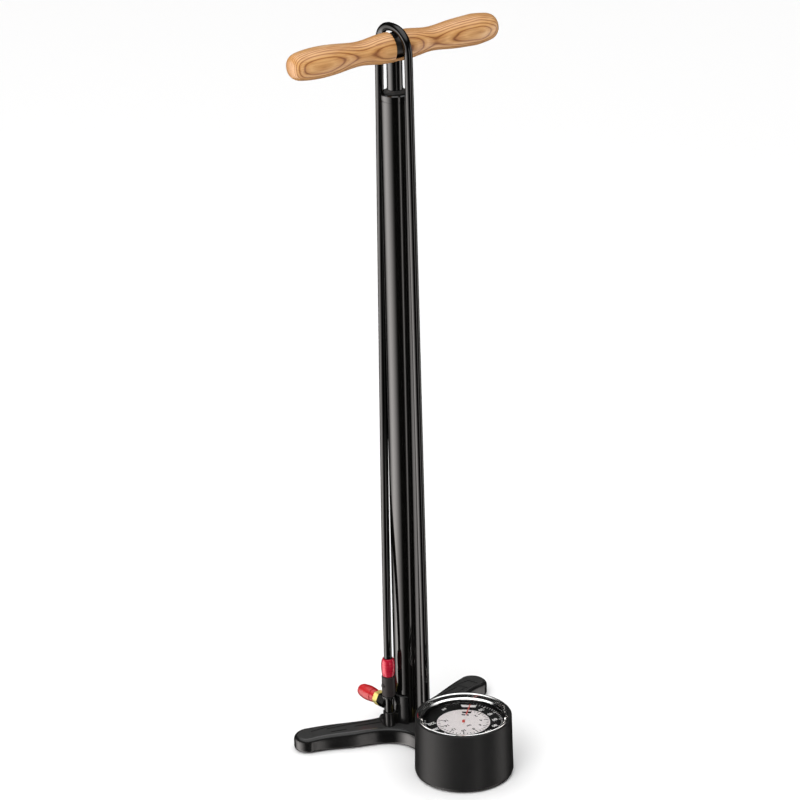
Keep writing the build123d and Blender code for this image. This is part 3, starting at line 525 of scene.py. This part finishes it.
HOSE_RADIUS = 0.00375
HOSE_SIDES = 28
HOSE_STEP = 0.004
HOSE_ROUTE = (
    (0.0, -0.0295, 0.027),
    (0.0, -0.0229, 0.647),
    (0.0, -0.0224, 0.6909),
    (0.0, 0.0236, 0.6909),
    (-0.0011, 0.0228, 0.647),
    (-0.0096, 0.0170, 0.300),
    (-0.0236, -0.0024, 0.140),
    (-0.0236, -0.0024, 0.071),
)


def smooth_route(points):
    """Points along the NURBS line that the route's points control."""
    curve = bpy.data.curves.new("route", "CURVE")
    curve.dimensions = "3D"
    spline = curve.splines.new("NURBS")
    spline.points.add(len(points) - 1)
    for target, point in zip(spline.points, points):
        target.co = (*point, 1)
    spline.order_u = 3
    spline.use_endpoint_u = True
    spline.resolution_u = 32
    holder = bpy.data.objects.new("route", curve)
    mesh = bpy.data.meshes.new_from_object(holder)
    line = [vertex.co.copy() for vertex in mesh.vertices]
    bpy.data.objects.remove(holder)
    return line


def even_steps(line, step):
    """The same line with points no further apart than a step."""
    spaced = [line[0]]
    for start, end in zip(line, line[1:]):
        parts = max(1, round((end - start).length / step))
        spaced += [start.lerp(end, part / parts) for part in range(1, parts + 1)]
    return spaced


def tube_mesh(name, line, radius, sides):
    """A closed round tube along a line, turned as little as possible from ring to ring."""
    shape = bmesh.new()
    across = Vector((1, 0, 0))
    rings = []
    for index, point in enumerate(line):
        ahead = (line[min(index + 1, len(line) - 1)] - line[max(index - 1, 0)]).normalized()
        across = (across - ahead * across.dot(ahead)).normalized()
        other = ahead.cross(across)
        ring = []
        for side in range(sides):
            turn = 2 * pi * side / sides
            ring.append(shape.verts.new(point + radius * (across * cos(turn) + other * sin(turn))))
        rings.append(ring)
    for lower, upper in zip(rings, rings[1:]):
        for side in range(sides):
            following = (side + 1) % sides
            shape.faces.new((lower[side], lower[following], upper[following], upper[side])).smooth = True
    shape.faces.new(list(reversed(rings[0])))
    shape.faces.new(rings[-1])
    mesh = bpy.data.meshes.new(name)
    shape.to_mesh(mesh)
    shape.free()
    return mesh


def add_hose(material):
    """The air hose, hooked over the handle."""
    line = even_steps(smooth_route(HOSE_ROUTE), HOSE_STEP)
    hose = add_piece("rubber_hose", tube_mesh("rubber_hose", line, HOSE_RADIUS, HOSE_SIDES), material,
                     None)
    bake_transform(hose)
    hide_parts("air_hose")


# ---- dial printing ------------------------------------------------------------------
PRINT_H = 0.00005
ZERO_ANGLE = 45.0
SWEEP = 270.0
OUTER_FULL = 232.0
INNER_FULL = 16.0
OUTER_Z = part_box("dial_plate")[1].z
INNER_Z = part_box("inner_dial")[1].z

# Heights of figures and radii from the dial's centre, in metres.
OUTER_FIGURE, OUTER_FIGURE_RADIUS = 0.0052, 0.0292
OUTER_UNIT, OUTER_UNIT_RADIUS = 0.0042, 0.0315
INNER_FIGURE, INNER_FIGURE_RADIUS = 0.0047, 0.0164
INNER_UNIT, INNER_UNIT_RADIUS = 0.0036, 0.0085
BOLDNESS = 0.03

# Ticks: the radius where one starts and its half-width, for the numbered values and for those between.
OUTER_TICK_LONG, OUTER_TICK_SHORT, OUTER_TICK_END = (0.0328, 0.00045), (0.0345, 0.00026), 0.0365
INNER_TICK_LONG, INNER_TICK_SHORT, INNER_TICK_END = (0.0192, 0.00042), (0.0212, 0.00028), 0.0236

# Printed blocks at zero: four corners each, as (radius, degrees).
ZERO_BLOCK = ((0.0348, 60), (0.0352, 36), (0.0312, 34.5), (0.0303, 58))
ZERO_BARS = (((0.0206, 60), (0.0216, 36), (0.0184, 33), (0.0174, 58)),
             ((0.0158, 63), (0.0156, 38), (0.0132, 34), (0.0134, 62)))


def scale_angle(value, full):
    """Direction of a scale value from the dial's centre, clockwise from the zero."""
    return radians(ZERO_ANGLE - SWEEP * value / full)


def on_dial(radius, angle, z):
    return Vector((dial_centre.x + radius * cos(angle), dial_centre.y + radius * sin(angle), z))


def text_mesh(text, size):
    """Flat lettering of a height in metres, centred on its origin."""
    curve = bpy.data.curves.new("figure", "FONT")
    curve.body = text
    curve.size = size
    curve.align_x = "CENTER"
    curve.align_y = "CENTER"
    curve.extrude = PRINT_H / 2
    curve.offset = size * BOLDNESS
    holder = bpy.data.objects.new("figure", curve)
    mesh = bpy.data.meshes.new_from_object(holder)
    bpy.data.objects.remove(holder)
    return mesh


def add_figures(name, figures, z, material):
    """Numbers and units on the dial, upright for a reader standing behind the barrel."""
    shape = bmesh.new()
    for text, size, radius, angle in figures:
        mesh = text_mesh(text, size)
        spot = on_dial(radius, angle, z + PRINT_H / 2)
        mesh.transform(Matrix.Translation(spot) @ Matrix.Rotation(pi, 4, "Z"))
        shape.from_mesh(mesh)
        bpy.data.meshes.remove(mesh)
    mesh = bpy.data.meshes.new(name)
    shape.to_mesh(mesh)
    shape.free()
    return add_piece(name, mesh, material, "root")


def slab(shape, corners, z):
    """Thin flat printed patch with four corners given as (radius, angle)."""
    low = [shape.verts.new(on_dial(radius, angle, z)) for radius, angle in corners]
    high = [shape.verts.new(on_dial(radius, angle, z + PRINT_H)) for radius, angle in corners]
    shape.faces.new(low)
    shape.faces.new(list(reversed(high)))
    for index in range(len(corners)):
        following = (index + 1) % len(corners)
        shape.faces.new((low[following], low[index], high[index], high[following]))


def tick_corners(size, outer, angle):
    """Corners of a tick from its (inner radius, half-width) out to a radius."""
    inner, half_width = size
    return ((inner, angle + half_width / inner), (inner, angle - half_width / inner),
            (outer, angle - half_width / outer), (outer, angle + half_width / outer))


def block_corners(corners):
    return [(radius, radians(degrees)) for radius, degrees in corners]


def add_marks(name, patches, z, material):
    """Printed ticks and blocks."""
    shape = bmesh.new()
    for corners in patches:
        slab(shape, corners, z)
    bmesh.ops.recalc_face_normals(shape, faces=shape.faces)
    mesh = bpy.data.meshes.new(name)
    shape.to_mesh(mesh)
    shape.free()
    return add_piece(name, mesh, material, "root")


def add_dial(white, black):
    """Outer scale in white on black, inner scale in black on the pale disc, and the blocks at zero."""
    figures = [(str(value), OUTER_FIGURE, OUTER_FIGURE_RADIUS, scale_angle(value, OUTER_FULL))
               for value in range(20, 221, 20)]
    figures.append(("psi", OUTER_UNIT, OUTER_UNIT_RADIUS, radians(90)))
    add_figures("outer_scale_numbers", figures, OUTER_Z, white)
    ticks = [tick_corners(OUTER_TICK_SHORT if value % 20 else OUTER_TICK_LONG, OUTER_TICK_END,
                          scale_angle(value, OUTER_FULL))
             for value in range(8, 229, 4)]
    add_marks("outer_scale_ticks", ticks, OUTER_Z, white)
    add_marks("zero_block", [block_corners(ZERO_BLOCK)], OUTER_Z, white)
    figures = [(str(value), INNER_FIGURE, INNER_FIGURE_RADIUS, scale_angle(value, INNER_FULL))
               for value in range(2, 17, 2)]
    figures.append(("bar", INNER_UNIT, INNER_UNIT_RADIUS, radians(-90)))
    add_figures("inner_scale_numbers", figures, INNER_Z, black)
    ticks = [tick_corners(INNER_TICK_SHORT if step % 4 else INNER_TICK_LONG, INNER_TICK_END,
                          scale_angle(step / 2, INNER_FULL))
             for step in range(1, 33)]
    add_marks("inner_scale_ticks", ticks, INNER_Z, black)
    bars = [block_corners(corners) for corners in ZERO_BARS]
    add_marks("zero_bars", bars, INNER_Z, black)


# ---- floor and light ----------------------------------------------------------------
FLOOR_HALF = 12.0
FLOOR_CUTS = 6


def add_floor():
    """Plain pale floor. Mirror-like surfaces see the studio round it instead."""
    shape = bmesh.new()
    bmesh.ops.create_grid(shape, x_segments=FLOOR_CUTS, y_segments=FLOOR_CUTS, size=FLOOR_HALF)
    mesh = bpy.data.meshes.new("floor")
    shape.to_mesh(mesh)
    shape.free()
    skin = Surface("floor_paper", (0.9, 0.9, 0.9), 0.9)
    skin.set("Specular IOR Level", 0.0)
    mesh.materials.append(skin.material)
    floor = bpy.data.objects.new("floor", mesh)
    bpy.context.scene.collection.objects.link(floor)
    floor.visible_glossy = False


# Soft boxes round the horizon: brightness, then the bearings in degrees where a box begins, is full, starts
# to fade and ends. Bearings go from +Y (0) through -X (90), -Y (180) and +X (270).
SOFT_BOXES = (
    (6.0, 16, 67, 68, 128),
    (2.8, 165, 178, 181, 190),
    (2.3, 220, 230, 245, 270),
)
RAMP_PEAK = max(box[0] for box in SOFT_BOXES)
STUDIO_TINT = (1.0, 0.955, 0.93)
MIDDLE_LIGHT = 0.03
TOP_LIGHT = 2.1

# Degrees above the horizon over which the ring of light gives way to the dark middle, and that to the top.
HORIZON_END = (8.0, 18.0)
TOP_START = (38.0, 60.0)


def soft_box_stops():
    """Stops round the horizon for a smooth ramp: dark, full, full and dark for each box."""
    stops = []
    for brightness, *bearings in SOFT_BOXES:
        full = scaled(STUDIO_TINT, brightness / RAMP_PEAK)
        stops += [(bearing / 360, colour) for bearing, colour in zip(bearings, (0.0, full, full, 0.0))]
    return stops


def add_world():
    """Studio round the object: upright soft boxes round the horizon and a broad soft light from above."""
    world = bpy.data.worlds.new("studio")
    world.use_nodes = True
    bpy.context.scene.world = world
    tree = world.node_tree
    background = tree.nodes["Background"]

    def share(output, low, high, interpolation="SMOOTHSTEP"):
        """How far an output has gone from a low to a high value, 0 to 1."""
        made = new_node(tree, "ShaderNodeMapRange", interpolation_type=interpolation)
        made.inputs["From Min"].default_value = low
        made.inputs["From Max"].default_value = high
        tree.links.new(output, made.inputs["Value"])
        return made.outputs["Result"]

    def over(factor, first, brightness):
        """A plain grey laid over a colour."""
        made = new_node(tree, "ShaderNodeMix", data_type="RGBA")
        tree.links.new(factor, made.inputs[MIX_FACTOR])
        tree.links.new(first, made.inputs[MIX_FIRST])
        made.inputs[MIX_SECOND].default_value = (*(brightness / RAMP_PEAK,) * 3, 1)
        return made.outputs[MIX_RESULT]

    def risen(angles):
        """How far the direction has risen between two elevations in degrees."""
        low, high = (sin(radians(angle)) for angle in angles)
        return share(parts.outputs["Z"], low, high)

    direction = new_node(tree, "ShaderNodeTexCoord")
    parts = new_node(tree, "ShaderNodeSeparateXYZ")
    tree.links.new(direction.outputs["Generated"], parts.inputs["Vector"])
    forward = new_node(tree, "ShaderNodeMath", operation="MULTIPLY")
    tree.links.new(parts.outputs["Y"], forward.inputs[0])
    forward.inputs[1].default_value = -1.0
    bearing = new_node(tree, "ShaderNodeMath", operation="ARCTAN2")
    tree.links.new(parts.outputs["X"], bearing.inputs[0])
    tree.links.new(forward.outputs["Value"], bearing.inputs[1])
    ring = new_node(tree, "ShaderNodeValToRGB")
    ring.color_ramp.interpolation = "EASE"
    fill_ramp(ring, soft_box_stops())
    tree.links.new(share(bearing.outputs["Value"], -pi, pi, "LINEAR"), ring.inputs["Fac"])
    middle = over(risen(HORIZON_END), ring.outputs["Color"], MIDDLE_LIGHT)
    whole = over(risen(TOP_START), middle, TOP_LIGHT)
    tree.links.new(whole, background.inputs["Color"])
    background.inputs["Strength"].default_value = RAMP_PEAK


KEY_PLACE = Vector((-2.2, -1.4, 2.4))
KEY_SIZE = 1.6
KEY_POWER = 50.0


def add_key_light():
    """Square soft light high on the left, which gloss does not show."""
    data = bpy.data.lights.new("key", "AREA")
    data.shape = "RECTANGLE"
    data.size = KEY_SIZE
    data.size_y = KEY_SIZE
    data.energy = KEY_POWER
    key = bpy.data.objects.new("key", data)
    bpy.context.scene.collection.objects.link(key)
    middle = (cad_box[0] + cad_box[1]) / 2
    key.location = KEY_PLACE
    key.rotation_mode = "QUATERNION"
    key.rotation_quaternion = (middle - KEY_PLACE).to_track_quat("-Z", "Y")
    key.visible_glossy = False


# ---- scene --------------------------------------------------------------------------
def main():
    add_camera()
    add_hose(hose_rubber())
    white = printed("print_white", PRINT_WHITE)
    black = printed("print_black", PRINT_BLACK, 0.42)
    finish_nodes(black, printed("dial_cream", DIAL_CREAM), needle_paint())
    add_dial(white, black)
    add_floor()
    add_world()
    add_key_light()
    bpy.context.scene.view_settings.view_transform = "Standard"


main()
